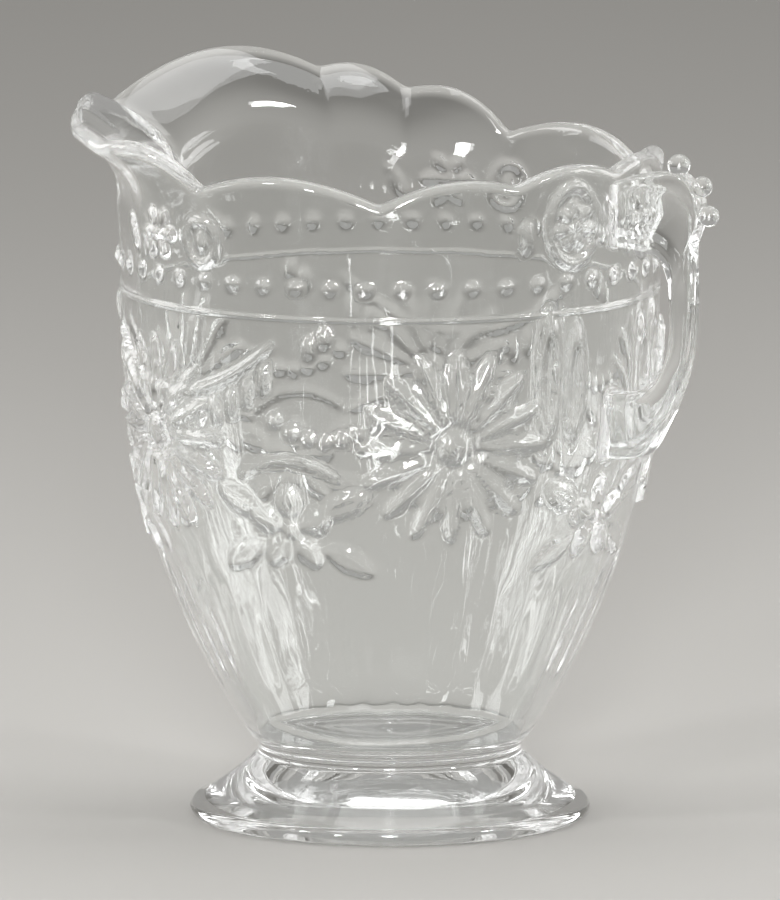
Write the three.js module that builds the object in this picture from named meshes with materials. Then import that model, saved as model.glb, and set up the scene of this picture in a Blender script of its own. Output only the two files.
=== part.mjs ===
// A footed creamer of clear pressed glass, in millimetres, +Z up.
// The bowl, the hollow foot and the handle are one pressing on the real object. Here each form that the
// mould gives it is a solid of its own: bowl, foot, handle, the beads on the handle's shoulder, five
// rayed daisies and five small flowers.
// The handle lies toward +X and the pouring lip toward -X. The origin is on the table, under the middle
// of the whole length, so the bowl's axis stands a little behind it.
import * as THREE from 'three';
import { mergeVertices } from 'three/addons/utils/BufferGeometryUtils.js';

// Driving dimensions of the bowl.
const shoulderRadius = 46.1;
const shoulderHeight = 92;
const neckRadius = 22.6;
const footHeight = 12.5;
const glassWall = 2.8;
const floorThickness = 2.2;
const floorRounding = 1.4;
const ringHeight = 0.9;
const ringProud = 0.35;
const upperFlare = 0.6;
const plainBand = 5;
const bowlFullness = 2.35;

// Driving dimensions of the rim and the pouring lip.
const lowestRim = 111;
const scallopStep = 12;
const scallopRise = 6.6;
const flareDepth = 12;
const flareReach = 7.5;
const beakReach = 6.4;
const flareCurve = 3;

// Driving dimensions of the foot.
const footRadius = 34.3;
const footEdge = 1.6;
const footRingWidth = 2.6;
const stemHeight = 1.2;
const domeHeight = 7.6;
const footWall = 3.4;

// Driving dimensions of the handle.
const handleTop = 115.4;
const upperArmDepth = 13.8;
const fingerHeight = 24.4;
const lowerArmDepth = 12;
const fingerGap = 12.1;
const gripThickness = 4.4;
const handleWidth = 4.4;
const handleEdge = 0.8;
const shoulderCut = 3.6;
const shoulderProud = 1.6;
const beadRadius = 1.7;

// Driving dimensions of the pressed pattern.
const daisyRadius = 16.4;
const daisyHeight = 70;
const daisyPetals = 16;
const daisyEye = 2.8;
const flowerRadius = 8.6;
const flowerDrop = 1;
const flowerPetals = 5;
const flowerEye = 1.7;
const reliefBase = 0.3;
const reliefDepth = 1.1;

// The clearance that each form keeps from the one that carries it.
const seat = 0.3;

const halfTurn = Math.PI;
const fullTurn = 2 * Math.PI;
const quarterTurn = Math.PI / 2;

// The rim's scallops from the lip to the handle. Each ends at a share of the half turn, in a cusp at a
// share of scallopStep above the lowest rim, and rises by a share of scallopRise over its chord. A lean
// under 1 puts its top nearer the lip.
const lipCuspShare = 0.583;
const plainScallopShares = [
  { end: 0.453, cusp: 0.125, rise: 0.5, lean: 1 },
  { end: 0.682, cusp: 0, rise: 0.55, lean: 1 },
  { end: 0.848, cusp: 0.23, rise: 0.38, lean: 1 },
  { end: 1, cusp: 0.3, rise: 0.36, lean: 1 },
];
// The lip was drawn out by hand while the glass was soft, which left one crest beside it the lower.
const highCrestShares = [
  { end: 0.23, cusp: 0.967, rise: 1, lean: 1 },
  { end: 0.323, cusp: 0.65, rise: 0.36, lean: 1 },
];
const lowCrestShares = [
  { end: 0.23, cusp: 0.75, rise: 0.5, lean: 0.6 },
  { end: 0.323, cusp: 0.65, rise: 0.1, lean: 1 },
];
const scallopColumns = [10, 5, 6, 9, 7, 6];
const crestRoundness = 0.85;
const beakHalfTurnShare = 0.15;
const beakCurve = 1.3;
const flareFullShare = 0.289;
const flareEndShare = 0.489;

const clearGlass = new THREE.MeshStandardMaterial({
  color: 0xdfe6e1, roughness: 0.06, metalness: 0, transparent: true, opacity: 0.35,
});
const patternGlass = new THREE.MeshStandardMaterial({
  color: 0xe8eeea, roughness: 0.12, metalness: 0, transparent: true, opacity: 0.35,
});

const mix = (from, to, share) => from + (to - from) * share;
const smooth = (share) => {
  const held = Math.min(1, Math.max(0, share));
  return held * held * (3 - 2 * held);
};

// One closed body from rows of points: every row has the same count of points and closes on itself, or
// is a single pole.
function skin(rows) {
  const places = rows.flat().flatMap((point) => point.toArray());
  const starts = rows.map((_, row) => rows.slice(0, row).reduce((sum, held) => sum + held.length, 0));
  const faces = [];
  for (let row = 0; row + 1 < rows.length; row += 1) {
    const [low, high] = [rows[row], rows[row + 1]];
    const turns = Math.max(low.length, high.length);
    for (let step = 0; step < turns; step += 1) {
      const next = (step + 1) % turns;
      const at = (points, start, index) => start + (points.length === 1 ? 0 : index);
      const [a, b] = [at(low, starts[row], step), at(low, starts[row], next)];
      const [c, d] = [at(high, starts[row + 1], next), at(high, starts[row + 1], step)];
      if (a !== b) faces.push(a, b, c);
      if (c !== d) faces.push(a, c, d);
    }
  }
  const geometry = new THREE.BufferGeometry();
  geometry.setAttribute('position', new THREE.Float32BufferAttribute(places, 3));
  geometry.setIndex(faces);
  geometry.computeVertexNormals();
  return geometry;
}

function mesh(name, geometry, material) {
  const piece = new THREE.Mesh(geometry, material);
  piece.name = name;
  return piece;
}

// A revolved body: a profile of [radius, height] pairs that starts and ends on the axis, from the
// underside outward and over the top.
function revolve(profile, turns) {
  return skin(profile.map(([radius, height]) => (radius === 0
    ? [new THREE.Vector3(0, 0, height)]
    : Array.from({ length: turns }, (_, step) => {
      const angle = (fullTurn * step) / turns;
      return new THREE.Vector3(radius * Math.cos(angle), radius * Math.sin(angle), height);
    }))));
}

// The bowl's outside radius at a height, below the lip's flare.
function outsideRadius(height) {
  const share = Math.min(1, Math.max(0, (height - footHeight) / (shoulderHeight - footHeight)));
  const swell = mix(neckRadius, shoulderRadius, 1 - (1 - share) ** bowlFullness);
  const above = Math.max(0, (height - shoulderHeight) / (lowestRim - shoulderHeight));
  return swell + upperFlare * above;
}

// How far the rim leans out of the round bowl, at a share of the half turn from the lip.
function rimFlare(turnShare) {
  const past = (turnShare - flareFullShare) / (flareEndShare - flareFullShare);
  const beak = Math.max(0, 1 - turnShare / beakHalfTurnShare) ** beakCurve;
  return flareReach * (1 - smooth(past)) + beakReach * beak;
}

// The columns of one side of the rim, from the lip to the handle, as shares of the half turn with the
// rim's height there.
function rimSide(crestShares) {
  const scallops = [...crestShares, ...plainScallopShares];
  const columns = [];
  let [begin, beginCusp] = [0, lipCuspShare];
  scallops.forEach(({ end, cusp, rise, lean }, index) => {
    for (let step = 0; step < scallopColumns[index]; step += 1) {
      const share = step / scallopColumns[index];
      const arch = Math.sin(halfTurn * share ** lean) ** crestRoundness;
      const chord = lowestRim + scallopStep * mix(beginCusp, cusp, share);
      columns.push({ turnShare: mix(begin, end, share), height: chord + scallopRise * rise * arch });
    }
    [begin, beginCusp] = [end, cusp];
  });
  columns.push({ turnShare: 1, height: lowestRim + scallopStep * beginCusp });
  return columns;
}

// All columns round the bowl, counter-clockwise from the handle.
function rimColumns() {
  const highSide = rimSide(highCrestShares);
  const lowSide = rimSide(lowCrestShares);
  const high = highSide.map(({ turnShare, height }) => ({
    angle: halfTurn * (1 - turnShare), turnShare, height,
  })).reverse();
  const low = lowSide.slice(1, -1).map(({ turnShare, height }) => ({
    angle: halfTurn * (1 + turnShare), turnShare, height,
  }));
  return [...high, ...low];
}

// The middle of the wall in one column, as [radius, height] pairs from the neck to the rim.
const lowerRowShares = [0.03, 0.13, 0.25, 0.38, 0.52, 0.68, 0.86];
const upperRowShares = [0, 0.35, 0.58, 0.76, 0.9, 1];

function wallMiddle({ turnShare, height }) {
  const half = glassWall / 2;
  const lower = lowerRowShares.map((share) => mix(footHeight, shoulderHeight, share));
  const rimCentre = height - half;
  const upper = upperRowShares.map((share) => mix(shoulderHeight + plainBand, rimCentre, share));
  const flare = rimFlare(turnShare);
  return [...lower, ...upper].map((level) => {
    const climbed = Math.max(0, 1 - (rimCentre - level) / flareDepth);
    return [outsideRadius(level) - half + flare * climbed ** flareCurve, level];
  });
}

// The unit direction along the wall at one of its points.
function alongWall(middle, index) {
  const [before, after] = [middle[Math.max(0, index - 1)], middle[Math.min(middle.length - 1, index + 1)]];
  const run = [after[0] - before[0], after[1] - before[1]];
  const length = Math.hypot(...run);
  return [run[0] / length, run[1] / length];
}

// The closed profile of one column, from the middle of the underside, up the outside with its moulded
// ring, over the fire-polished rim and down the inside to the middle of the floor.
const rimArcSteps = 5;

function bowlColumn(column) {
  const middle = wallMiddle(column);
  const half = glassWall / 2;
  const sides = middle.map(([radius, level], index) => {
    const [outward, upward] = alongWall(middle, index);
    return {
      outer: [radius + half * upward, level - half * outward],
      inner: [radius - half * upward, level + half * outward],
    };
  });
  const split = lowerRowShares.length;
  const ring = [
    [outsideRadius(shoulderHeight - ringHeight), shoulderHeight - ringHeight],
    [outsideRadius(shoulderHeight) + ringProud, shoulderHeight - ringHeight / 2],
    [outsideRadius(shoulderHeight), shoulderHeight],
  ];
  const last = middle.length - 1;
  const [outward, upward] = alongWall(middle, last);
  const rim = Array.from({ length: rimArcSteps - 1 }, (_, step) => {
    const turn = (halfTurn * (step + 1)) / rimArcSteps;
    const [across, along] = [half * Math.cos(turn), half * Math.sin(turn)];
    return [
      middle[last][0] + across * upward + along * outward,
      middle[last][1] - across * outward + along * upward,
    ];
  });
  const floorLevel = footHeight + floorThickness;
  const cornerHeight = floorLevel + floorRounding;
  const cornerRadius = outsideRadius(cornerHeight) - glassWall;
  const inside = sides.slice(1).map(({ inner }) => inner).reverse();
  return [
    [neckRadius, footHeight],
    ...sides.slice(0, split).map(({ outer }) => outer),
    ...ring,
    ...sides.slice(split).map(({ outer }) => outer),
    ...rim,
    ...inside,
    [cornerRadius, cornerHeight],
    [cornerRadius - floorRounding / 2, floorLevel + floorRounding / 4],
    [cornerRadius - floorRounding, floorLevel],
  ];
}

function bowl() {
  const columns = rimColumns().map((column) => bowlColumn(column).map(([radius, level]) => (
    new THREE.Vector3(radius * Math.cos(column.angle), radius * Math.sin(column.angle), level))));
  const rows = columns[0].map((_, row) => columns.map((column) => column[row]));
  const underside = [new THREE.Vector3(0, 0, footHeight)];
  const floor = [new THREE.Vector3(0, 0, footHeight + floorThickness)];
  return mesh('bowl', skin([underside, ...rows, floor]), clearGlass);
}

// The foot: a short stem and a nearly straight flare to a rounded edge, hollow beneath, on a flat ring.
const footTurns = 56;

function foot() {
  const top = footHeight - seat;
  const stemBottom = top - stemHeight;
  const edgeHeight = 2 * footEdge;
  const ringOuter = footRadius - footEdge;
  const ringInner = ringOuter - footRingWidth;
  const flareShares = [[0.14, 0.86], [0.28, 0.68], [0.52, 0.43], [0.76, 0.21]];
  const flare = flareShares.map(([out, up]) => [
    mix(neckRadius, ringOuter, out), mix(edgeHeight, stemBottom, up)]);
  const domeShares = [[0.86, 0.32], [0.66, 0.68], [0.36, 0.93]];
  const dome = domeShares.map(([out, up]) => [ringInner * out, (top - footWall - floorThickness) * up]);
  return mesh('foot', revolve([
    [0, Math.min(domeHeight, top - footWall)],
    ...dome.reverse(),
    [ringInner, 0],
    [ringOuter, 0],
    [footRadius - footEdge * (1 - Math.SQRT1_2), footEdge * (1 - Math.SQRT1_2)],
    [footRadius, footEdge],
    [footRadius - footEdge * (1 - Math.SQRT1_2), footEdge * (1 + Math.SQRT1_2)],
    [ringOuter, edgeHeight],
    ...flare.reverse(),
    [neckRadius, stemBottom],
    [neckRadius, top],
    [0, top],
  ], footTurns), clearGlass);
}

// The handle's outline from the side: an upper arm with a cut shoulder that stands proud of the straight
// grip, and a lower arm that thickens as it sweeps back to the bowl. Its ends follow the bowl's outside.
const wallSteps = 4;

function wallLine(from, to) {
  return Array.from({ length: wallSteps + 1 }, (_, step) => {
    const level = mix(from, to, step / wallSteps);
    return new THREE.Vector2(outsideRadius(level) + seat, level);
  });
}

const gripInside = shoulderRadius + fingerGap;
const handleReach = gripInside + gripThickness;
const shoulderReach = handleReach + shoulderProud;
const shoulderFoot = handleTop - shoulderCut - 4 * beadRadius;
const gripTop = handleTop - upperArmDepth;
const gripBottom = gripTop - fingerHeight;
const handleFoot = gripBottom - lowerArmDepth;

function handle() {
  const armRoot = handleTop - upperArmDepth / 4;
  const upperRoot = wallLine(gripTop, armRoot);
  const lowerRoot = wallLine(handleFoot, gripBottom);
  const [upperEnd, innerEnd, outerEnd] = [upperRoot[wallSteps], lowerRoot[wallSteps], lowerRoot[0]];
  const sweepTop = gripBottom + fingerHeight / 2;
  const outline = new THREE.Shape();
  outline.moveTo(upperEnd.x, upperEnd.y);
  outline.quadraticCurveTo(mix(upperEnd.x, gripInside, 0.5), handleTop, gripInside, handleTop);
  outline.lineTo(shoulderReach - shoulderCut, handleTop);
  outline.lineTo(shoulderReach, handleTop - shoulderCut);
  outline.lineTo(shoulderReach, shoulderFoot + shoulderProud);
  outline.lineTo(handleReach, shoulderFoot);
  outline.lineTo(handleReach, sweepTop);
  outline.bezierCurveTo(
    handleReach, mix(gripBottom, sweepTop, -0.25),
    mix(outerEnd.x, handleReach, 0.7), mix(handleFoot, gripBottom, 0.2),
    mix(outerEnd.x, handleReach, 0.42), handleFoot,
  );
  lowerRoot.forEach((point) => outline.lineTo(point.x, point.y));
  outline.bezierCurveTo(
    mix(innerEnd.x, gripInside, 0.6), gripBottom,
    gripInside, mix(gripBottom, sweepTop, 0.25),
    gripInside, sweepTop,
  );
  outline.lineTo(gripInside, mix(gripTop, sweepTop, 0.5));
  outline.quadraticCurveTo(gripInside, gripTop, mix(upperRoot[0].x, gripInside, 0.25), gripTop);
  upperRoot.slice(0, -1).forEach((point) => outline.lineTo(point.x, point.y));
  const pressed = new THREE.ExtrudeGeometry(outline, {
    depth: handleWidth - 2 * handleEdge,
    bevelThickness: handleEdge,
    bevelSize: handleEdge,
    bevelOffset: -handleEdge,
    bevelSegments: 2,
    curveSegments: 8,
  });
  pressed.deleteAttribute('normal');
  pressed.deleteAttribute('uv');
  const solid = mergeVertices(pressed);
  solid.translate(0, 0, handleEdge - handleWidth / 2);
  solid.rotateX(quarterTurn);
  solid.computeVertexNormals();
  return mesh('handle', solid, clearGlass);
}

// The beads on the handle's shoulder: domes with a flat back, on its top, its cut corner and its side.
const beadTurns = 12;
const beadRingShares = [-0.6, -0.15, 0.35, 0.78];
const cutBeadShare = 0.7;

function thumbBeads() {
  const sunk = beadRadius * beadRingShares[0];
  const profile = beadRingShares.map((share) => [
    beadRadius * Math.sqrt(1 - share * share), beadRadius * share - sunk]);
  const dome = revolve([[0, 0], ...profile, [0, beadRadius - sunk]], beadTurns);
  const backRadius = profile[0][0];
  const places = [
    { out: shoulderReach - shoulderCut - backRadius, up: handleTop, tilt: 0 },
    { out: mix(shoulderReach - shoulderCut, shoulderReach, cutBeadShare),
      up: handleTop - shoulderCut * cutBeadShare, tilt: quarterTurn / 2 },
    { out: shoulderReach, up: handleTop - shoulderCut - 2 * beadRadius, tilt: quarterTurn },
  ];
  return places.map(({ out, up, tilt }, index) => {
    const bead = mesh(`thumb_bead_${index + 1}`, dome, clearGlass);
    bead.rotation.y = tilt;
    bead.position.set(out + seat * Math.sin(tilt), 0, up + seat * Math.cos(tilt));
    return bead;
  });
}

// A point over the bowl's outside, at a distance along and up the wall from a flower's middle.
function overWall(angle, height, across, up, lift) {
  const level = height + up;
  const step = ringHeight;
  const lean = (outsideRadius(level + step) - outsideRadius(level - step)) / (2 * step);
  const slant = Math.hypot(1, lean);
  const radius = outsideRadius(level) + lift / slant;
  const turn = angle + across / outsideRadius(level);
  return new THREE.Vector3(radius * Math.cos(turn), radius * Math.sin(turn), level - (lift * lean) / slant);
}

// A pressed flower: a raised eye ringed by ridged petals, on a thin base that follows the wall. Columns
// run from a petal's ridge to the notch beside it and on to the next ridge, each with its share of the
// flower's reach and of its relief.
function pressedFlower(name, angle, height, form) {
  const { radius, eye, petals, columnShares, ridgeShares } = form;
  const columns = petals * columnShares.length;
  const ringAt = (share, liftOf) => Array.from({ length: columns }, (_, column) => {
    const { reach, lift } = columnShares[column % columnShares.length];
    const out = mix(eye, radius * reach, share);
    const turn = quarterTurn + (fullTurn * column) / columns;
    return overWall(angle, height, out * Math.cos(turn), out * Math.sin(turn), liftOf(lift));
  });
  const backShares = [0.5, 1];
  const back = [
    [overWall(angle, height, 0, 0, seat)],
    ringAt(0, () => seat),
    ...backShares.map((share) => ringAt(share, () => seat)),
  ];
  const front = ridgeShares.map(([share, rise]) => (
    ringAt(share, (lift) => seat + reliefBase + reliefDepth * rise * lift)));
  const crown = [overWall(angle, height, 0, 0, seat + reliefBase + reliefDepth)];
  return mesh(name, skin([...back, ...front, crown]), patternGlass);
}

const daisyForm = {
  radius: daisyRadius,
  eye: daisyEye,
  petals: daisyPetals,
  columnShares: [{ reach: 1, lift: 1 }, { reach: 0.78, lift: 0 }],
  ridgeShares: [[1, 0.1], [0.86, 0.75], [0.5, 1], [0.16, 0.55], [0, 0.5]],
};
const flowerForm = {
  radius: flowerRadius,
  eye: flowerEye,
  petals: flowerPetals,
  columnShares: [
    { reach: 1, lift: 1 }, { reach: 0.9, lift: 0.6 }, { reach: 0.42, lift: 0 }, { reach: 0.9, lift: 0.6 },
  ],
  ridgeShares: [[1, 0.1], [0.72, 0.7], [0.3, 0.8], [0, 0.5]],
};

// Five daisies stand round the bowl, clear of the handle, with a small flower between each two, level
// with the one under the handle's foot. Each place is a share of the half turn from the handle.
const daisyTurnShares = [0.228, 0.639, 1, 1.361, 1.772];
const flowerTurnShares = [0, 0.433, 0.822, 1.178, 1.567];

function pattern() {
  const flowerHeight = handleFoot - flowerDrop - flowerRadius;
  const daisies = daisyTurnShares.map((share, index) => (
    pressedFlower(`daisy_${index + 1}`, halfTurn * share, daisyHeight, daisyForm)));
  const flowers = flowerTurnShares.map((share, index) => (
    pressedFlower(`leaf_flower_${index + 1}`, halfTurn * share, flowerHeight, flowerForm)));
  return [...daisies, ...flowers];
}

const creamer = new THREE.Group();
creamer.add(bowl(), foot(), handle(), ...thumbBeads(), ...pattern());

// The whole length is centred on the origin.
const lipCentre = lowestRim + scallopStep * lipCuspShare - glassWall / 2;
const lipEnd = outsideRadius(lipCentre) + flareReach + beakReach;
const beadEnd = shoulderReach + seat + beadRadius * (1 - beadRingShares[0]);
creamer.position.x = (lipEnd - beadEnd) / 2;
creamer.updateMatrixWorld(true);

export default creamer;
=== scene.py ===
"""A footed creamer of clear pressed glass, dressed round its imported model.

The glass is one pressing, so its looks are one closed skin: foot, bowl, rim, lip and raised pattern come
from a single grid, and the handle with its beads is joined to it, so that light crosses no inner wall.
Shapes are worked out in millimetres round the bowl's axis and set into the frame, in metres, at the end.
"""
import math

import bmesh
import bpy
import numpy as np
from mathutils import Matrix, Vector


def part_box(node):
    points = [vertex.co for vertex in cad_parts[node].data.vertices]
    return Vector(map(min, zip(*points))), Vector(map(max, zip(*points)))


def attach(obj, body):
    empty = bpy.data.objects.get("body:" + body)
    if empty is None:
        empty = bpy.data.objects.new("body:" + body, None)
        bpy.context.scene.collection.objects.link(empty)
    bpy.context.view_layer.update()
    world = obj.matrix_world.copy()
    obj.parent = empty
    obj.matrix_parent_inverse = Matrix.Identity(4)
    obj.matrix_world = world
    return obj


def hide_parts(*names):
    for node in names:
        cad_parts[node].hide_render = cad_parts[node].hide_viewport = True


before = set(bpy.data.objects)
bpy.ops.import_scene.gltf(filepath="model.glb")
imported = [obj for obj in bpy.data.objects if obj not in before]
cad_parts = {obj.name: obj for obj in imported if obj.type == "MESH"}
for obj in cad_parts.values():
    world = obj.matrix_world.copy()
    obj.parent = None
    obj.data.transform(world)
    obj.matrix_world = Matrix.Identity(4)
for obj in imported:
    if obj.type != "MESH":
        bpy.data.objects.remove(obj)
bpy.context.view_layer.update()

MM = 0.001
foot_low, foot_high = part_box("foot")
AXIS_X = (foot_low[0] + foot_high[0]) / 2 / MM

# The bowl, as the solids have it.
FOOT_RADIUS = (foot_high[0] - foot_low[0]) / 2 / MM
NECK_RADIUS = 22.6
NECK_LEVEL = 12.5
SHOULDER_RADIUS = 46.1
SHOULDER_LEVEL = 92.0
FULLNESS = 2.35
UPPER_FLARE = 0.6
WALL = 2.8
FLOOR_LEVEL = 14.7
FLOOR_ROUNDING = 1.6
FLOOR_INSET = 0.2
# The floor's shallow dish: radius and depth.
FLOOR_DISH = ((14.0, 0.05), (7.0, 0.1))

# The rim and the lip. A turn is a share of the half turn from the lip to the handle.
LOWEST_RIM = 111.0
SCALLOP_STEP = 12.0
SCALLOP_RISE = 6.6
CREST_ROUNDNESS = 0.85
LIP_CUSP = 0.583
PLAIN_BAND_TOP = 97.0
FLARE_DEPTH = 12.0
FLARE_REACH = 7.5
FLARE_CURVE = 3.0
FLARE_END = 0.289
FLARE_FADE = 0.2
BEAK_REACH = 6.4
BEAK_TURN = 0.15
BEAK_CURVE = 1.3
# Each scallop: the turn at which it ends, its cusp's share of the step, its rise, and how far its top
# leans back toward the lip.
HIGH_SCALLOPS = ((0.23, 0.967, 1.0, 1.0), (0.323, 0.65, 0.36, 1.0), (0.453, 0.125, 0.5, 1.0),
                 (0.682, 0.0, 0.55, 1.0), (0.848, 0.23, 0.38, 1.0), (1.0, 0.3, 0.36, 1.0))
LOW_SCALLOPS = ((0.23, 0.75, 0.5, 0.6), (0.323, 0.65, 0.1, 1.0)) + HIGH_SCALLOPS[2:]

# The foot. Its flare's points are shares of the way out to the flat ring and up to the stem.
FOOT_EDGE = 1.6
FOOT_RING = 2.6
STEM_BOTTOM = 11.0
DOME_HEIGHT = 7.6
DOME_CURVE = 2.6
FOOT_FLARE = ((0.88, 0.1), (0.76, 0.21), (0.64, 0.32), (0.52, 0.43), (0.4, 0.55),
              (0.28, 0.68), (0.19, 0.79), (0.12, 0.88), (0.06, 0.95), (0.02, 0.99))
# The stem and its fillet: how far each point stands out of the neck, and its level.
STEM_LINE = ((0.0, 11.4), (0.0, 12.0), (0.1, 12.6), (0.7, 13.5))

# The handle's inner and outer edge at matching points, as distance from the bowl's axis and level, and
# its width there.
INNER_EDGE = ((44.9, 101.6), (49.0, 101.6), (53.5, 101.2), (56.4, 99.4), (57.6, 97.2), (58.0, 94.8),
              (58.2, 92.0), (58.2, 87.6), (57.5, 83.6), (55.2, 79.8), (52.0, 77.8), (48.4, 77.2),
              (44.3, 77.2))
OUTER_EDGE = ((44.9, 111.6), (49.6, 113.9), (55.3, 115.2), (60.7, 115.2), (64.0, 111.8), (64.0, 107.4),
              (62.6, 103.8), (62.6, 94.0), (62.1, 86.0), (60.2, 78.6), (56.7, 71.4), (52.5, 66.4),
              (43.0, 65.2))
HANDLE_WIDTHS = (4.8, 4.6, 4.5, 4.4, 4.4, 4.4, 4.4, 4.4, 4.4, 4.4, 4.5, 4.7, 5.0)
SECTION_SQUARENESS = 0.5
HANDLE_FLUTES = 3.0
HANDLE_FLUTE_DEPTH = 0.2
# The beads on the handle's shoulder: distance from the axis, level and radius.
BEADS = ((59.3, 116.5, 1.9), (64.1, 113.2, 1.75), (65.4, 108.3, 1.75))

# The pressed pattern: angles from the handle in degrees, levels above the table, sizes along the wall.
DAISY_ANGLES = (41.0, 115.0, 180.0, 245.0, 319.0)
DAISY_LEVEL = 70.0
FLOWER_ANGLES = (0.0, 78.0, 148.0, 212.0, 282.0)
FLOWER_LEVEL = 55.6
LEAF_HEADINGS = (-28, 208, 25, 155)
ARCH_LEVEL = 67.4
ARCH_DROP = 3.4
ARCH_REACH = 9.6
ARCH_LINE = 0.5
ARCH_ENDS = 6.0
RING_LEVEL = 91.6
RING_LINE = 0.28
ROW_LEVEL = 97.0
ROW_BEADS = 48
SWAG_ANGLES = (69.0, 148.0, 212.0, 291.0)
SWAG_LEVEL = 71.0
SWAG_SAG = 0.35
SWAG_STEP = 2.9
SWAG_DROPS = ((-2.6, 86.9), (0.0, 88.6))
FESTOON_ANGLES = (108.0, 252.0)
FESTOON_REACH = 23.0
FESTOON_LEVEL = 77.5
FESTOON_SAG = 10.3
FESTOON_LINE = 0.55
FESTOON_ENDS = 8.0
FRINGE_STEP = 3.4
FRINGE_FALL = 4.4
HELD_BACK = 0.5
HOLD_DEPTH = 0.8
# Beside the handle: the angle and level of each tall oval, its half width and height, and its line.
TALL_OVALS = ((19.5, 80.7, (1.9, 8.6, 0.55)), (12.4, 79.5, (1.7, 7.5, 0.55)))
BUD_ANGLE = 13.5
BUD_LEVEL = 106.4
BUD_DROP_ANGLE = 25.5
BUD_DROP_LEVEL = 105.0
# Beside the lip.
SPRAY_ANGLE = 112.0
SPRAY_LEVEL = 104.0
SPRAY_LEAF_ASIDE = 9.0
SPRAY_LEAF_LEAN = 27.0
SPRAY_LEAF_LEVEL = 103.0
LOOP_ANGLE = 98.0
LOOP_LEVEL = 103.4
FLUTES = 40.0
FLUTE_BOTTOM, FLUTE_BOTTOM_FADE = 23.0, 12.0
FLUTE_TOP, FLUTE_TOP_FADE = 34.0, 16.0
# Petals: how many, where they begin and end from the middle, and their half width.
LONG_PETALS = (16, 3.5, 16.4, 1.45)
SHORT_PETALS = (16, 3.5, 12.6, 0.95)
FLOWER_PETALS = (5, 1.6, 7.396, 2.1)
BUD_PETALS = (7, 1.1, 4.2, 1.2)
SPRAY_PETALS = (6, 1.1, 4.6, 1.2)
PETAL_LEAN = 1.25
PETAL_BLUNTNESS = 0.6
# Leaves: where they begin from the middle, their length and half width.
FLOWER_LEAF = (6.0, 9.5, 2.0)
SPRAY_LEAF = (-3.0, 7.0, 1.1)
LEAF_BLUNTNESS = 0.8
RIB_DEPTH = 0.45
RIB_WIDTH = 0.28
# Ovals: half width, half height and the width of the line. Drops: radius and stretch.
BUD_OVAL = (5.0, 6.6, 0.5)
LOOP_OVAL = (3.2, 3.7, 0.5)
SWAG_DROP = (1.05, 2.1)
FRINGE_DROP = (0.95, 2.9)
BUD_DROP = (1.2, 2.6)
LOOP_DROP = (0.85, 2.4)
# Round beads and the flowers' eyes: radius.
DAISY_EYE = 3.1
FLOWER_EYE = 1.7
BUD_EYE = 1.2
SPRAY_EYE = 1.1
ROW_BEAD = 1.1
SWAG_BEAD = 1.2
# How far each form stands out of the wall. A flute goes in by as much.
RISE = {
    "long petal": 1.15, "short petal": 0.7, "daisy eye": 1.5, "flower petal": 1.0, "flower eye": 1.2,
    "leaf": 0.9, "arch": 0.6, "ring": 0.3, "row bead": 0.8, "swag bead": 0.95, "swag drop": 0.85,
    "festoon": 1.0, "fringe": 0.85, "oval": 0.8, "bud petal": 0.9, "bud eye": 1.1, "bud drop": 0.8,
    "spray petal": 0.85, "spray eye": 1.0, "spray leaf": 0.7, "loop": 0.8, "loop drop": 0.8, "flute": 0.2,
}

# The glass grid: columns round it, the wall's bands as bottom, top and rows, and the rows of its rim.
# The inside is plain, so it takes every fifth row below the upper band, and every third there.
COLUMNS = 408
WALL_BANDS = ((15.0, 44.0, 22), (44.0, 90.6, 66), (90.6, 92.6, 9), (92.6, PLAIN_BAND_TOP, 6))
SCALLOP_ROWS = 36
RIM_ROWS = 12
INNER_START, INNER_TURN = 3, 100
INNER_STEP, INNER_UPPER_STEP = 5, 3
# The join: points nearer than this are one, and the seam is softened so many times.
MERGE_DISTANCE = 0.02
SEAM_PASSES = 3
TINY = 1e-6

# The photograph's view: degrees round and above the object, and the camera's distance, frame and aim.
VIEW_AZIMUTH = 35.0
VIEW_ELEVATION = 8.5
CAMERA_DISTANCE = 2.4
FRAME_HEIGHT = 0.154
AIM_LEVEL = 0.063

# The studio, in metres.
FLOOR_PAINT = (0.5, 0.49, 0.47)
FLOOR_HALF = 6.0
ROOM_COLOUR = (0.34, 0.335, 0.325, 1.0)
LAMP_AIM = Vector((0.0, 0.0, 0.06))
OPEN_BEAM = 180.0
LIGHT_BOUNCES = 96
# Each lamp: degrees round from the front, level, distance, width and height, power, and beam in degrees.
LAMPS = {
    "front_box": (VIEW_AZIMUTH, 0.72, 2.7, (0.4, 0.9), 12.0, 70.0),
    "front_lamp": (VIEW_AZIMUTH - 2.0, 0.62, 2.5, (0.26, 0.26), 20.0, 24.0),
    "strip_light": (VIEW_AZIMUTH, 0.19, 0.8, (0.04, 0.26), 3.4, 50.0),
    "left_lamp": (-20.0, 0.9, 1.6, (0.2, 0.2), 7.0, 30.0),
    "right_lamp": (95.0, 0.7, 1.6, (0.2, 0.2), 7.0, 30.0),
    "low_lamp": (5.0, 0.35, 1.5, (0.12, 0.3), 5.0, 50.0),
    "left_panel": (-55.0, 0.4, 1.2, (0.3, 0.7), 4.6, 80.0),
    "right_panel": (125.0, 0.4, 1.2, (0.3, 0.7), 4.6, 80.0),
    "back_left_panel": (281.0, 0.33, 1.2, (0.42, 0.62), 3.6, 80.0),
    "back_right_panel": (149.0, 0.33, 1.2, (0.42, 0.62), 3.6, 80.0),
    "top_panel": (200.0, 1.5, 0.4, (1.0, 1.0), 8.0, OPEN_BEAM),
}


def smooth(share):
    """Rises from 0 to 1 with level ends as the share does: three of its squares less two of its cubes."""
    held = np.clip(share, 0.0, 1.0)
    return held * held * (3.0 - 2.0 * held)


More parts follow.
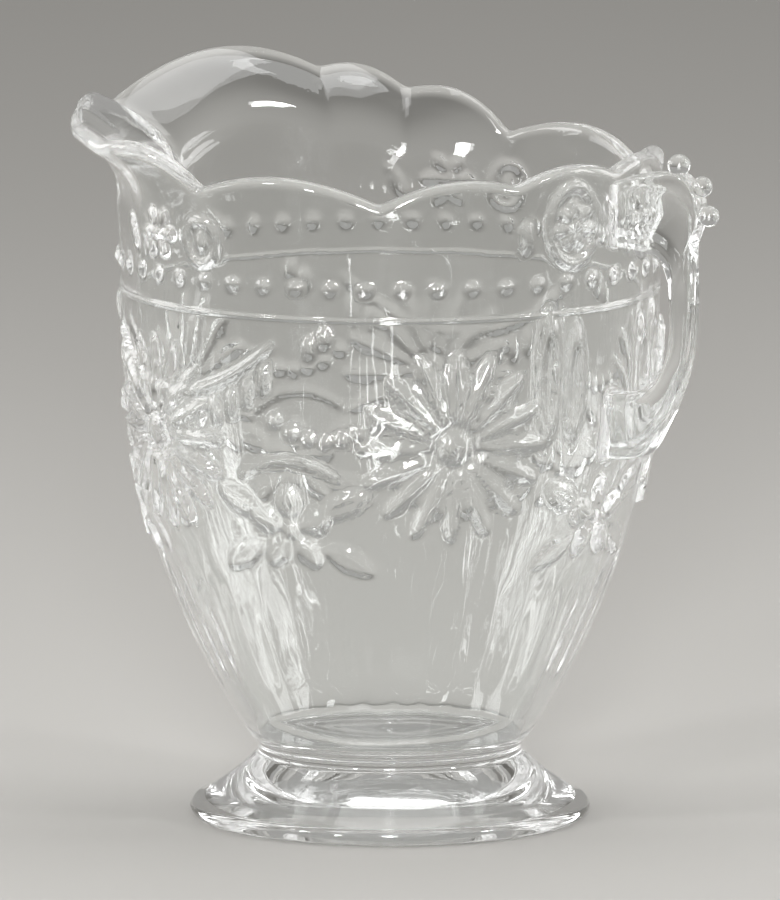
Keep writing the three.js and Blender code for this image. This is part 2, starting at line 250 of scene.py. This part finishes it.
def full_turn(count):
    """Evenly spaced angles round a whole turn, in radians."""
    return np.arange(count) * 2.0 * math.pi / count


def mesh_object(name, points, faces):
    """A smooth-shaded mesh object from points in millimetres round the bowl's axis, set into the frame."""
    placed = (np.asarray(points) + (AXIS_X, 0.0, 0.0)) * MM
    mesh = bpy.data.meshes.new(name)
    mesh.from_pydata(placed.tolist(), [], [list(face) for face in faces])
    shade_smooth(mesh)
    mesh.update()
    thing = bpy.data.objects.new(name, mesh)
    bpy.context.scene.collection.objects.link(thing)
    return thing


def shade_smooth(mesh):
    """Smooth shading on every face."""
    mesh.polygons.foreach_set("use_smooth", np.ones(len(mesh.polygons), dtype=bool))


def capped_grid(rows):
    """Points and faces of a closed skin: rings of equal length in order, with a pole before the first
    and after the last, each at the middle of its ring."""
    count, turns = rows.shape[:2]
    first, last = rows[0].mean(axis=0), rows[-1].mean(axis=0)
    points = np.concatenate([[first], rows.reshape(-1, 3), [last]])
    ring = 1 + np.arange(count * turns).reshape(count, turns)
    ahead = np.roll(ring, -1, axis=1)
    sides = np.stack([ring[:-1], ahead[:-1], ahead[1:], ring[1:]], axis=-1).reshape(-1, 4)
    low = [(0, int(b), int(a)) for a, b in zip(ring[0], ahead[0])]
    top = [(len(points) - 1, int(a), int(b)) for a, b in zip(ring[-1], ahead[-1])]
    return points, sides.tolist() + low + top


def outside_radius(level):
    """The bowl's outside: the neck swells to the shoulder as one less a falling power of the height,
    and leans out evenly above it."""
    share = np.clip((level - NECK_LEVEL) / (SHOULDER_LEVEL - NECK_LEVEL), 0.0, 1.0)
    swell = NECK_RADIUS + (SHOULDER_RADIUS - NECK_RADIUS) * (1.0 - (1.0 - share) ** FULLNESS)
    above = np.maximum(0.0, (level - SHOULDER_LEVEL) / (LOWEST_RIM - SHOULDER_LEVEL))
    return swell + UPPER_FLARE * above


def rim_flare(turn):
    """How far the rim leans out at each turn from the lip: an even flare that fades at the side, and a
    beak that narrows to the lip as a power of what is left of its turn."""
    beak = np.maximum(0.0, 1.0 - turn / BEAK_TURN) ** BEAK_CURVE
    return FLARE_REACH * (1.0 - smooth((turn - FLARE_END) / FLARE_FADE)) + BEAK_REACH * beak


def scallop_line(turn, scallops):
    """The rim's height: a straight chord from cusp to cusp, with a rounded sine arch on each."""
    line = np.zeros_like(turn)
    begin, begin_cusp = 0.0, LIP_CUSP
    for end, cusp, rise, lean in scallops:
        inside = (turn >= begin) & (turn <= end)
        share = np.clip((turn - begin) / (end - begin), 0.0, 1.0)
        chord = LOWEST_RIM + SCALLOP_STEP * (begin_cusp + (cusp - begin_cusp) * share)
        arch = np.abs(np.sin(math.pi * share ** lean)) ** CREST_ROUNDNESS
        line = np.where(inside, chord + SCALLOP_RISE * rise * arch, line)
        begin, begin_cusp = end, cusp
    return line


def rim_height(angles):
    """The rim's height and turn at each angle from the handle. Its cusps are rounded, as fire leaves
    them, by two passes of a mean of each column with its neighbours, its own height counted twice."""
    turn = np.abs(np.angle(np.exp(1j * (angles - math.pi)))) / math.pi
    line = np.where(angles < math.pi, scallop_line(turn, HIGH_SCALLOPS), scallop_line(turn, LOW_SCALLOPS))
    for _ in range(2):
        line = (np.roll(line, 1) + 2.0 * line + np.roll(line, -1)) / 4.0
    return line, turn


def around(angle, middle, level):
    """Distance round the wall from an angle in degrees: the angle between, times the wall's radius."""
    return outside_radius(level) * np.angle(np.exp(1j * (angle - math.radians(middle))))


def petals(across, up, count, inner, outer, half_width, turn=0.0):
    """Ridged petals round a middle: each one's width is a blunted sine of its length, widest past the
    half, and it falls off to the sides as a circle."""
    reach = np.hypot(across, up)
    sector = 2.0 * math.pi / count
    beside = (np.arctan2(up, across) - turn + sector / 2) % sector - sector / 2
    along = np.clip((reach - inner) / (outer - inner), 0.0, 1.0)
    half = half_width * np.sin(math.pi * along ** PETAL_LEAN) ** PETAL_BLUNTNESS + TINY
    fall = 1.0 - (reach * np.sin(beside) / half) ** 2
    return np.where((reach > inner) & (reach < outer), np.sqrt(np.clip(fall, 0.0, 1.0)), 0.0)


def dome(across, up, radius):
    """A round bead: the root of one less the squared distance over the squared radius."""
    return np.sqrt(np.clip(1.0 - (across ** 2 + up ** 2) / radius ** 2, 0.0, 1.0))


def drop(across, up, radius, stretch):
    """An upright drop: a round bead drawn out by its stretch."""
    return dome(across, up / stretch, radius)


def faded_ends(share, sharpness):
    """Fades a line at its two ends: the smooth rise of what is left of its half length."""
    return smooth((1.0 - np.abs(share)) * sharpness)


def fine_line(distance, width):
    """A fine raised line: e to the minus square of the distance over the width."""
    return np.exp(-(distance / width) ** 2)


def leaf(across, up, heading, start, length, half_width):
    """A pointed leaf from a middle: its width is a blunted sine of its length, it falls off to the
    sides as a circle, and a fine groove runs down its rib."""
    turn = math.radians(heading)
    along = (across * math.cos(turn) + up * math.sin(turn) - start) / length
    beside = -across * math.sin(turn) + up * math.cos(turn)
    half = half_width * np.sin(math.pi * np.clip(along, 0.0, 1.0)) ** LEAF_BLUNTNESS + TINY
    fall = np.sqrt(np.clip(1.0 - (beside / half) ** 2, 0.0, 1.0))
    rib = 1.0 - RIB_DEPTH * fine_line(beside, RIB_WIDTH * half_width)
    return np.where((along > 0.0) & (along < 1.0), fall * rib, 0.0)


def oval_ring(across, up, half_width, half_height, width):
    """A fine raised line along an oval, by its share of the oval's size."""
    reach = np.hypot(across / half_width, up / half_height)
    return fine_line((reach - 1.0) * half_width, width)


def daisy_relief(across, up):
    """A daisy: long petals, short petals between them, and a domed eye in a groove."""
    return np.maximum.reduce([
        RISE["long petal"] * petals(across, up, *LONG_PETALS),
        RISE["short petal"] * petals(across, up, *SHORT_PETALS, turn=math.pi / SHORT_PETALS[0]),
        RISE["daisy eye"] * dome(across, up, DAISY_EYE)])


def leaf_flower_relief(across, up):
    """A small flower: five broad petals round an eye, with two pairs of leaves."""
    return np.maximum.reduce([
        RISE["flower petal"] * petals(across, up, *FLOWER_PETALS, turn=math.pi / 2),
        RISE["flower eye"] * dome(across, up, FLOWER_EYE),
        *(RISE["leaf"] * leaf(across, up, heading, *FLOWER_LEAF) for heading in LEAF_HEADINGS)])


def bead_row_relief(angle, level):
    """A row of small beads above the moulded ring, one in each equal sector."""
    sector = 2.0 * math.pi / ROW_BEADS
    across = outside_radius(level) * ((angle + sector / 2) % sector - sector / 2)
    return RISE["row bead"] * dome(across, level - ROW_LEVEL, ROW_BEAD)


def swag_relief(angle, level):
    """Between the daisies, swags of seven beads that hang along a parabola, each below two drops."""
    forms = []
    for middle in SWAG_ANGLES:
        beside = around(angle, middle, level)
        for step in range(-3, 4):
            hang = SWAG_LEVEL + SWAG_SAG * step * step
            forms.append(RISE["swag bead"] * dome(beside - SWAG_STEP * step, level - hang, SWAG_BEAD))
        for aside, high in SWAG_DROPS:
            forms.append(RISE["swag drop"] * drop(beside - aside, level - high, *SWAG_DROP))
    return np.maximum.reduce(forms)


def arch_relief(angle, level):
    """A low arch over each small flower but the one below the handle: a fine line along a parabola,
    faded at its ends."""
    forms = []
    for middle in FLOWER_ANGLES[1:]:
        share = around(angle, middle, level) / ARCH_REACH
        arch = ARCH_LEVEL - ARCH_DROP * share ** 2
        forms.append(RISE["arch"] * faded_ends(share, ARCH_ENDS) * fine_line(level - arch, ARCH_LINE))
    return np.maximum.reduce(forms)


def festoon_share(angle, level, middle):
    """The share of a festoon's half width from its middle, and the height above its hanging parabola."""
    share = around(angle, middle, level) / FESTOON_REACH
    return share, level - (FESTOON_LEVEL + FESTOON_SAG * share ** 2)


def festoon_relief(angle, level):
    """Beside the lip, a fine line along a hanging parabola, with a fringe of 13 drops below it."""
    forms = []
    for middle in FESTOON_ANGLES:
        share, above = festoon_share(angle, level, middle)
        forms.append(RISE["festoon"] * faded_ends(share, FESTOON_ENDS) * fine_line(above, FESTOON_LINE))
        for step in range(-6, 7):
            beside = share * FESTOON_REACH - FRINGE_STEP * step
            forms.append(RISE["fringe"] * drop(beside, above + FRINGE_FALL, *FRINGE_DROP))
    return np.maximum.reduce(forms)


def handle_side_relief(angle, level):
    """On both sides of the handle: two tall ovals below the ring, and above it a bud of seven petals in
    an oval, with an upright drop beside it."""
    forms = []
    for side in (-1.0, 1.0):
        for middle, high, oval in TALL_OVALS:
            beside = around(angle, middle * side, level)
            forms.append(RISE["oval"] * oval_ring(beside, level - high, *oval))
        beside, above = around(angle, BUD_ANGLE * side, level), level - BUD_LEVEL
        forms.append(RISE["bud petal"] * petals(beside, above, *BUD_PETALS, turn=math.pi / 2))
        forms.append(RISE["bud eye"] * dome(beside, above, BUD_EYE))
        forms.append(RISE["oval"] * oval_ring(beside, above, *BUD_OVAL))
        beside = around(angle, BUD_DROP_ANGLE * side, level)
        forms.append(RISE["bud drop"] * drop(beside, level - BUD_DROP_LEVEL, *BUD_DROP))
    return np.maximum.reduce(forms)


def lip_side_relief(angle, level):
    """On the upper band, on both sides of the lip: a flower of six petals with one upright leaf that
    leans to it, and an oval loop round an upright drop."""
    forms = []
    for side in (-1.0, 1.0):
        beside, above = around(angle, SPRAY_ANGLE * side, level), level - SPRAY_LEVEL
        forms.append(RISE["spray petal"] * petals(beside, above, *SPRAY_PETALS))
        forms.append(RISE["spray eye"] * dome(beside, above, SPRAY_EYE))
        forms.append(RISE["spray leaf"] * leaf(
            beside - SPRAY_LEAF_ASIDE * side, level - SPRAY_LEAF_LEVEL, 90 - SPRAY_LEAF_LEAN * side,
            *SPRAY_LEAF))
        beside, above = around(angle, LOOP_ANGLE * side, level), level - LOOP_LEVEL
        forms.append(RISE["loop"] * oval_ring(beside, above, *LOOP_OVAL))
        forms.append(RISE["loop drop"] * drop(beside, above, *LOOP_DROP))
    return np.maximum.reduce(forms)


def flutes(angle, level):
    """Forty faint upright flutes on the lower bowl, as a squared cosine of the angle, that fade toward
    the pattern and the neck."""
    fade = smooth((level - FLUTE_BOTTOM) / FLUTE_BOTTOM_FADE) * (
        1.0 - smooth((level - FLUTE_TOP) / FLUTE_TOP_FADE))
    return -RISE["flute"] * fade * (0.5 + 0.5 * np.cos(FLUTES * angle)) ** 2


def relief(angle, level):
    """How far the outside stands out of the plain wall: the highest form at each place, less the
    flutes. Inside a festoon the daisy is held back to half its height."""
    held_back = np.ones_like(level)
    for middle in FESTOON_ANGLES:
        share, above = festoon_share(angle, level, middle)
        held_back -= HELD_BACK * smooth(above / HOLD_DEPTH) * (np.abs(share) < 1.0)
    forms = [held_back * daisy_relief(around(angle, middle, level), level - DAISY_LEVEL)
             for middle in DAISY_ANGLES]
    forms += [leaf_flower_relief(around(angle, middle, level), level - FLOWER_LEVEL)
              for middle in FLOWER_ANGLES]
    forms += [form(angle, level) for form in (bead_row_relief, swag_relief, arch_relief, festoon_relief,
                                              handle_side_relief, lip_side_relief)]
    forms.append(RISE["ring"] * fine_line(level - RING_LEVEL, RING_LINE))
    return np.maximum.reduce(forms) + flutes(angle, level)


def wall_rows():
    """The wall's middle line: the columns' angles, and radius and level as arrays of rows by columns.
    The rows are level up to the plain band, and above it they climb evenly to the scalloped rim, while
    the flare grows as a power of the height."""
    angles = full_turn(COLUMNS)
    height, turn = rim_height(angles)
    rim_centre = height - WALL / 2
    low = np.concatenate([
        np.linspace(bottom, top, rows, endpoint=False) for bottom, top, rows in WALL_BANDS])
    share = np.linspace(0.0, 1.0, SCALLOP_ROWS)[:, None]
    level = np.concatenate([
        np.repeat(low[:, None], COLUMNS, axis=1), PLAIN_BAND_TOP + share * (rim_centre - PLAIN_BAND_TOP)])
    climbed = np.maximum(0.0, 1.0 - (rim_centre - level) / FLARE_DEPTH)
    radius = outside_radius(level) - WALL / 2 + rim_flare(turn) * climbed ** FLARE_CURVE
    return angles, radius, level


def foot_profile():
    """The foot's line from under its middle, as radius and level: a shallow dome that falls as a power
    of the radius, a flat ring, a half circle for the edge, a nearly straight flare and a short stem with
    a small fillet below the bowl."""
    ring_out = FOOT_RADIUS - FOOT_EDGE
    ring_in = ring_out - FOOT_RING
    share = np.linspace(0.12, 1.0, 10)
    dome_line = np.stack([ring_in * share, DOME_HEIGHT * (1.0 - share ** DOME_CURVE)], -1)
    turn = np.linspace(-math.pi / 2, math.pi / 2, 9)
    edge = np.stack([ring_out + FOOT_EDGE * np.cos(turn), FOOT_EDGE + FOOT_EDGE * np.sin(turn)], -1)
    out, up = np.array(FOOT_FLARE).T
    flare = np.stack([NECK_RADIUS + out * (ring_out - NECK_RADIUS),
                      2 * FOOT_EDGE + up * (STEM_BOTTOM - 2 * FOOT_EDGE)], -1)
    stem = np.array(STEM_LINE) + (NECK_RADIUS, 0.0)
    return np.concatenate([dome_line, edge, flare, stem])


def floor_profile():
    """The inside floor's line, as radius and level: a quarter circle down from the wall, then a very
    shallow dish to the middle."""
    corner = outside_radius(FLOOR_LEVEL + FLOOR_ROUNDING) - WALL - FLOOR_INSET
    bend = np.linspace(0.0, math.pi / 2, 6)
    rounding = np.stack([corner - FLOOR_ROUNDING * (1.0 - np.cos(bend)),
                         FLOOR_LEVEL + FLOOR_ROUNDING * (1.0 - np.sin(bend))], -1)
    return np.concatenate([rounding, [[reach, FLOOR_LEVEL - depth] for reach, depth in FLOOR_DISH]])


def level_rings(profile):
    """A profile carried round the axis: its radius and level as arrays of rows by columns."""
    return np.repeat(profile[:, :1], COLUMNS, 1), np.repeat(profile[:, 1:], COLUMNS, 1)


def glass_skin():
    """The pressing without its handle: rings from the middle of the underside, over the foot, up the
    outside, over the rim, and down the inside to the middle of the floor. Each face of the wall stands
    half its thickness off the middle line, square to it, and the rim is a half circle between them."""
    angles, radius, level = wall_rows()
    run, rise = np.gradient(radius, axis=0), np.gradient(level, axis=0)
    length = np.hypot(run, rise)
    outward, upward = rise / length, -run / length
    lift = relief(np.broadcast_to(angles, level.shape), level)
    outside = (radius + outward * (WALL / 2 + lift), level + upward * (WALL / 2 + lift))
    inside = (radius - outward * WALL / 2, level - upward * WALL / 2)
    turn = np.linspace(0.0, math.pi, RIM_ROWS)[1:-1, None]
    rim = (radius[-1] + WALL / 2 * (np.cos(turn) * outward[-1] - np.sin(turn) * upward[-1]),
           level[-1] + WALL / 2 * (np.cos(turn) * upward[-1] + np.sin(turn) * outward[-1]))
    last = len(level) - 1
    inner_rows = np.unique(np.concatenate([
        np.arange(INNER_START, INNER_TURN, INNER_STEP), np.arange(INNER_TURN, last, INNER_UPPER_STEP),
        [last]]))[::-1]
    parts = [level_rings(foot_profile()), outside, rim, (inside[0][inner_rows], inside[1][inner_rows]),
             level_rings(floor_profile())]
    all_radius = np.concatenate([part[0] for part in parts])
    all_level = np.concatenate([part[1] for part in parts])
    rings = np.stack([all_radius * np.cos(angles), all_radius * np.sin(angles), all_level], -1)
    return mesh_object("glass_body", *capped_grid(rings))


def through(points, count):
    """A smooth line through a few points: Catmull-Rom pieces, each a cubic of the two points it joins
    and their neighbours, sampled evenly."""
    held = np.asarray(points, dtype=float).reshape(len(points), -1)
    padded = np.concatenate([[2 * held[0] - held[1]], held, [2 * held[-1] - held[-2]]])
    place = np.linspace(0.0, len(held) - 1.000001, count)
    index = place.astype(int)
    part = (place - index)[:, None]
    a, b, c, d = (padded[index + step] for step in range(4))
    return 0.5 * (2 * b + (c - a) * part + (2 * a - 5 * b + 4 * c - d) * part ** 2
                  + (3 * b - a - 3 * c + d) * part ** 3)


def handle_form():
    """The handle: a section carried between the inner and outer edge. The section is a rounded square,
    a circle whose sine and cosine are drawn out by a power, and its two side faces are fluted along
    their length by a cosine."""
    count = 120
    inner, outer = through(INNER_EDGE, count), through(OUTER_EDGE, count)
    half_width = through(HANDLE_WIDTHS, count)[:, :1] / 2
    turn = full_turn(40)
    across = np.sign(np.cos(turn)) * np.abs(np.cos(turn)) ** SECTION_SQUARENESS
    side = np.sign(np.sin(turn)) * np.abs(np.sin(turn)) ** SECTION_SQUARENESS
    wave = 0.5 + 0.5 * np.cos(across * HANDLE_FLUTES * math.pi)
    flute = 1.0 - HANDLE_FLUTE_DEPTH * wave * np.abs(side)
    share = (0.5 + 0.5 * across)[None, :, None]
    edge = inner[:, None] * (1.0 - share) + outer[:, None] * share
    rings = np.stack([edge[..., 0], half_width * side * flute, edge[..., 1]], -1)
    return mesh_object("handle_form", *capped_grid(rings[:, ::-1]))


def bead_form(index, place):
    """One bead on the handle's shoulder: a sphere of rings between two poles."""
    out, level, radius = place
    rise = np.linspace(-math.pi / 2, math.pi / 2, 16)[1:-1, None]
    turn = full_turn(28)
    rings = np.stack(np.broadcast_arrays(
        out + radius * np.cos(rise) * np.cos(turn), radius * np.cos(rise) * np.sin(turn),
        level + radius * np.sin(rise)), -1)
    return mesh_object(f"bead_form_{index}", *capped_grid(rings))


def face_out(thing):
    """Turns a closed mesh's faces outward."""
    held = bmesh.new()
    held.from_mesh(thing.data)
    bmesh.ops.recalc_face_normals(held, faces=held.faces)
    if held.calc_volume(signed=True) < 0:
        bmesh.ops.reverse_faces(held, faces=held.faces)
    held.to_mesh(thing.data)
    held.free()


def join_glass(body, others):
    """Joins closed forms to the body into one skin, and softens the line where they meet: the points
    that the join adds, and those next to them, move three times halfway to their neighbours' mean."""
    known = {tuple(np.round(v.co, 6)) for thing in (body, *others) for v in thing.data.vertices}
    for other in others:
        face_out(other)
        union = body.modifiers.new("join", "BOOLEAN")
        union.operation, union.solver, union.object = "UNION", "MANIFOLD", other
    seen = body.evaluated_get(bpy.context.evaluated_depsgraph_get())
    joined = bpy.data.meshes.new_from_object(seen)
    body.modifiers.clear()
    body.data = joined
    for other in others:
        bpy.data.objects.remove(other)
    held = bmesh.new()
    held.from_mesh(joined)
    bmesh.ops.remove_doubles(held, verts=held.verts, dist=MERGE_DISTANCE * MM)
    seam = {v for v in held.verts if tuple(np.round(v.co, 6)) not in known}
    seam |= {edge.other_vert(v) for v in seam for edge in v.link_edges}
    for _ in range(SEAM_PASSES):
        bmesh.ops.smooth_vert(held, verts=list(seam), factor=0.5, use_axis_x=True, use_axis_y=True,
                              use_axis_z=True)
    held.to_mesh(joined)
    held.free()
    joined.materials.clear()
    shade_smooth(joined)


def new_material(name):
    """A material with its nodes, its links and its Principled shader."""
    material = bpy.data.materials.new(name)
    material.use_nodes = True
    tree = material.node_tree
    return material, tree.nodes, tree.links, tree.nodes["Principled BSDF"]


def set_inputs(node, values):
    """Writes constants straight on a node's sockets."""
    for name, value in values.items():
        node.inputs[name].default_value = value


def glass_material():
    """Clear pressed glass: faintly grey-green, with the slow waviness and the fine orange-peel that a
    warm mould leaves, as two noises over the object's own place."""
    material, nodes, links, shader = new_material("pressed_glass")
    set_inputs(shader, {"Base Color": (0.985, 0.995, 0.99, 1.0), "Roughness": 0.015, "IOR": 1.5,
                        "Transmission Weight": 1.0})
    place = nodes.new("ShaderNodeTexCoord")
    wave, peel = nodes.new("ShaderNodeTexNoise"), nodes.new("ShaderNodeTexNoise")
    set_inputs(wave, {"Scale": 70.0, "Detail": 1.0})
    set_inputs(peel, {"Scale": 600.0, "Detail": 2.0})
    slow, fine = nodes.new("ShaderNodeBump"), nodes.new("ShaderNodeBump")
    set_inputs(slow, {"Strength": 0.3, "Distance": 0.00035})
    set_inputs(fine, {"Strength": 0.1, "Distance": 0.00004})
    links.new(place.outputs["Object"], wave.inputs["Vector"])
    links.new(place.outputs["Object"], peel.inputs["Vector"])
    links.new(wave.outputs["Fac"], slow.inputs["Height"])
    links.new(peel.outputs["Fac"], fine.inputs["Height"])
    links.new(slow.outputs["Normal"], fine.inputs["Normal"])
    links.new(fine.outputs["Normal"], shader.inputs["Normal"])
    return material


def floor_material():
    """Plain matt floor paint, with a painted glow. Light that the glass would throw onto the floor isn't
    traced,
    and the foot would look black. So through the glass, the floor glows with its own colour as painted
    light:
    most under the foot, and less with the distance from the middle, to none at 110 mm."""
    material, nodes, links, shader = new_material("floor_paint_and_painted_glow")
    paint = (*FLOOR_PAINT, 1.0)
    set_inputs(shader, {"Base Color": paint, "Roughness": 0.9, "Specular IOR Level": 0.1})
    # Painted light: an emission of the floor's own colour, seen only through the glass and strongest under
    # the foot, stands in for light the glass would throw onto the floor.
    painted_glow = nodes.new("ShaderNodeEmission")
    set_inputs(painted_glow, {"Color": paint})
    path = nodes.new("ShaderNodeLightPath")
    place = nodes.new("ShaderNodeTexCoord")
    away = nodes.new("ShaderNodeVectorMath")
    away.operation = "LENGTH"
    near = nodes.new("ShaderNodeMapRange")
    set_inputs(near, {"From Min": 0.035, "From Max": 0.11, "To Min": 0.65, "To Max": 0.0})
    share = nodes.new("ShaderNodeMath")
    share.operation = "MULTIPLY"
    mix = nodes.new("ShaderNodeMixShader")
    links.new(place.outputs["Object"], away.inputs[0])
    links.new(away.outputs["Value"], near.inputs["Value"])
    links.new(near.outputs["Result"], share.inputs[1])
    links.new(path.outputs["Is Transmission Ray"], share.inputs[0])
    links.new(share.outputs["Value"], mix.inputs["Fac"])
    links.new(shader.outputs["BSDF"], mix.inputs[1])
    links.new(painted_glow.outputs["Emission"], mix.inputs[2])
    links.new(mix.outputs["Shader"], nodes["Material Output"].inputs["Surface"])
    return material


def place_facing(thing, location, direction):
    """Puts a camera or lamp in the scene, facing a direction with its top upward."""
    bpy.context.scene.collection.objects.link(thing)
    thing.location = location
    thing.rotation_mode = "QUATERNION"
    thing.rotation_quaternion = direction.to_track_quat("-Z", "Y")


def camera():
    """A long lens at the photograph's angle, aimed at the bowl's axis."""
    data = bpy.data.cameras.new("camera")
    data.sensor_width = 36.0
    data.lens = data.sensor_width * CAMERA_DISTANCE / FRAME_HEIGHT
    data.clip_end = 20.0
    thing = bpy.data.objects.new("camera", data)
    turn, lift = math.radians(VIEW_AZIMUTH), math.radians(VIEW_ELEVATION)
    back = Vector((math.sin(turn) * math.cos(lift), -math.cos(turn) * math.cos(lift), math.sin(lift)))
    aim = Vector((AXIS_X * MM, 0.0, AIM_LEVEL))
    place_facing(thing, aim + CAMERA_DISTANCE * back, -back)
    bpy.context.scene.camera = thing


def panel_light(name, azimuth, level, distance, size, power, beam):
    """A soft oblong lamp that faces the bowl. A narrow beam keeps its light off the floor beside it.
    Power is that of an open lamp which looks as bright from straight ahead, so for a narrow beam it's
    scaled by one less the half angle over its tangent."""
    data = bpy.data.lights.new(name, "AREA")
    data.shape, data.size, data.size_y = "RECTANGLE", *size
    half = math.radians(beam) / 2
    data.spread = 2 * half
    data.energy = power * (1.0 - half / math.tan(half) if beam < OPEN_BEAM else 1.0)
    thing = bpy.data.objects.new(name, data)
    turn = math.radians(azimuth)
    location = Vector((distance * math.sin(turn), -distance * math.cos(turn), level))
    place_facing(thing, location, LAMP_AIM - location)


def studio():
    """A pale floor, a plain world and soft lamps."""
    corners = [(-FLOOR_HALF, -FLOOR_HALF, 0), (FLOOR_HALF, -FLOOR_HALF, 0),
               (FLOOR_HALF, FLOOR_HALF, 0), (-FLOOR_HALF, FLOOR_HALF, 0)]
    floor = bpy.data.meshes.new("floor")
    floor.from_pydata(corners, [], [(0, 1, 2, 3)])
    ground = bpy.data.objects.new("floor", floor)
    bpy.context.scene.collection.objects.link(ground)
    floor.materials.append(floor_material())
    world = bpy.data.worlds.new("world")
    bpy.context.scene.world = world
    world.use_nodes = True
    set_inputs(world.node_tree.nodes["Background"], {"Color": ROOM_COLOUR, "Strength": 1.0})
    for name, setting in LAMPS.items():
        panel_light(name, *setting)


bpy.context.scene.view_settings.view_transform = "Standard"
# Thick glass passes light back and forth many times; on a short path its edges would turn black.
bpy.context.scene.cycles.max_bounces = LIGHT_BOUNCES
bpy.context.scene.cycles.transmission_bounces = LIGHT_BOUNCES
bpy.context.scene.cycles.glossy_bounces = LIGHT_BOUNCES
camera()
body = glass_skin()
face_out(body)
join_glass(body, [handle_form()] + [bead_form(index, place) for index, place in enumerate(BEADS)])
body.data.materials.append(glass_material())
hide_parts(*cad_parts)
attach(body, "root")
studio()
